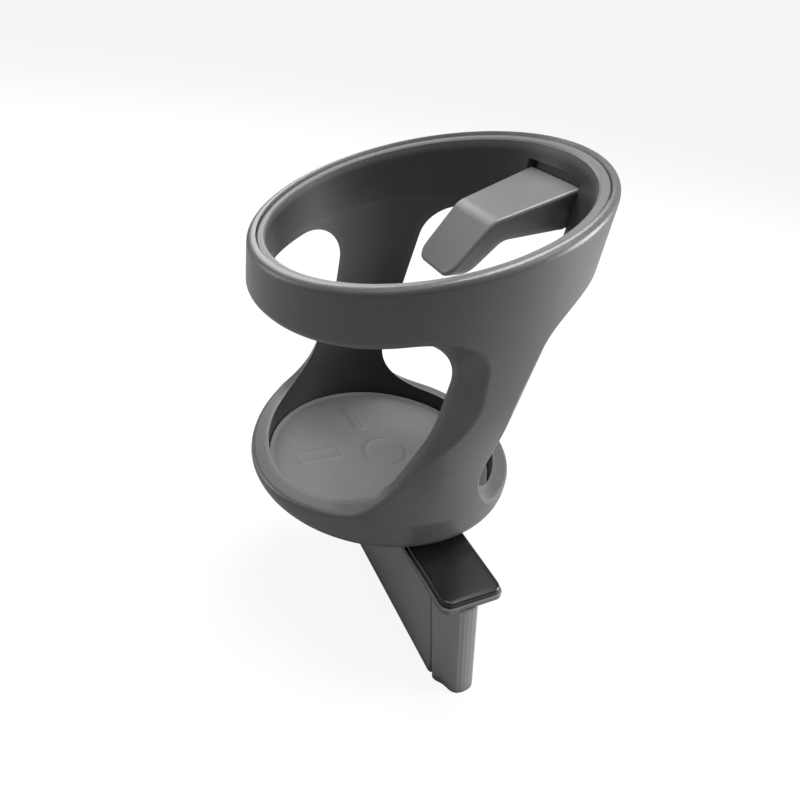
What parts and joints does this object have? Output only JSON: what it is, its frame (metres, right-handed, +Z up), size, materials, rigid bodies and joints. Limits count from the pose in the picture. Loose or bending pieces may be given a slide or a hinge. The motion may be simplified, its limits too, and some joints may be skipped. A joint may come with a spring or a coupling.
{
  "type": "car cup holder",
  "caption": "Open moulded cup holder with an oblique rim, two leaning legs, a sprung arm that steadies the cup and a slanting foot that plugs into a console slot.",
  "frame": {"origin": "on the upright line through the middle of the mouth, at the underside of the body, where the body sits on the foot that plugs into the console", "axes": "+Z up, +X towards the high side of the rim and the arm's hinge, -Y along the foot's length"},
  "size_m": [0.0866, 0.1005, 0.1419],
  "materials": {
    "shell_plastic": "satin moulded, dark grey",
    "trim_plastic": "satin moulded, dark grey",
    "mat_rubber": "matte, dark grey",
    "arm_plastic": "satin moulded, dark grey",
    "foot_plastic": "matte moulded, mid grey",
    "cover_plastic": "gloss black",
    "steel": "plain drawn steel"
  },
  "bodies": {
    "holder": {"outer_shell": "shell_plastic", "trim_ring": "trim_plastic", "floor_mat": "mat_rubber", "hinge_pin": "steel", "arm_spring": "steel", "foot_blade": "foot_plastic", "foot_cover": "cover_plastic", "foot_screws": "steel"},
    "arm": {"cup_arm": "arm_plastic"}
  },
  "joints": [
    {"name": "arm_hinge", "type": "hinge", "parent": "holder", "child": "arm", "pos_m": [0.034, 0, 0.082], "axis": [0, -1, 0], "range_deg": [0, 62], "stiffness_Nm_per_rad": 0.08, "springref_deg": -20.05, "deforming": ["arm_spring"]}
  ]
}
